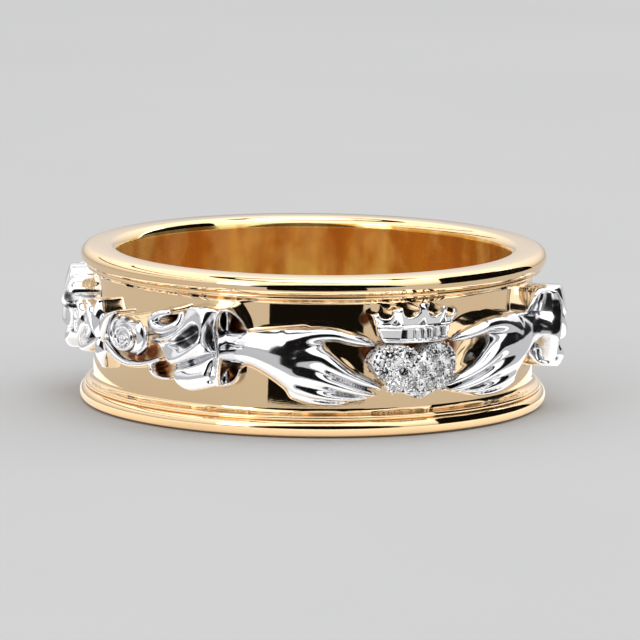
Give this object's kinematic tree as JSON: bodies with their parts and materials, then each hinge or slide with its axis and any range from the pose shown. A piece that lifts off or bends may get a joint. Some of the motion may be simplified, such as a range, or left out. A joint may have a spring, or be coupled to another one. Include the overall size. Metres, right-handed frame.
{
  "type": "claddagh ring",
  "caption": "Wide yellow gold finger ring with white gold relief: hands in curled cuffs holding a crowned, stone-set heart, with scrolls and leaves between.",
  "frame": {"origin": "on the finger hole's axis, in the plane of the edge that the ring rests on", "axes": "+Z along the finger hole's axis, up; -Y towards the front heart; +X to the viewer's right of that heart"},
  "size_m": [0.021, 0.022, 0.0069],
  "materials": {
    "yellow_gold": "polished yellow gold",
    "white_gold": "polished white gold",
    "clear_stone": "clear cut stone"
  },
  "bodies": {
    "root": {"back_crown": "white_gold", "back_heart": "white_gold", "back_left_cuff": "white_gold", "back_left_hand": "white_gold", "back_left_scroll": "white_gold", "back_right_cuff": "white_gold", "back_right_hand": "white_gold", "back_right_scroll": "white_gold", "back_stone_01": "clear_stone", "back_stone_02": "clear_stone", "back_stone_03": "clear_stone", "back_stone_04": "clear_stone", "back_stone_05": "clear_stone", "back_stone_06": "clear_stone", "back_stone_07": "clear_stone", "back_stone_08": "clear_stone", "back_stone_09": "clear_stone", "back_stone_10": "clear_stone", "back_stone_11": "clear_stone", "back_stone_12": "clear_stone", "back_stone_13": "clear_stone", "back_stone_14": "clear_stone", "band": "yellow_gold", "front_crown": "white_gold", "front_heart": "white_gold", "front_left_cuff": "white_gold", "front_left_hand": "white_gold", "front_left_scroll": "white_gold", "front_right_cuff": "white_gold", "front_right_hand": "white_gold", "front_right_scroll": "white_gold", "front_stone_01": "clear_stone", "front_stone_02": "clear_stone", "front_stone_03": "clear_stone", "front_stone_04": "clear_stone", "front_stone_05": "clear_stone", "front_stone_06": "clear_stone", "front_stone_07": "clear_stone", "front_stone_08": "clear_stone", "front_stone_09": "clear_stone", "front_stone_10": "clear_stone", "front_stone_11": "clear_stone", "front_stone_12": "clear_stone", "front_stone_13": "clear_stone", "front_stone_14": "clear_stone", "left_leaves": "white_gold", "right_leaves": "white_gold"}
  },
  "joints": []
}
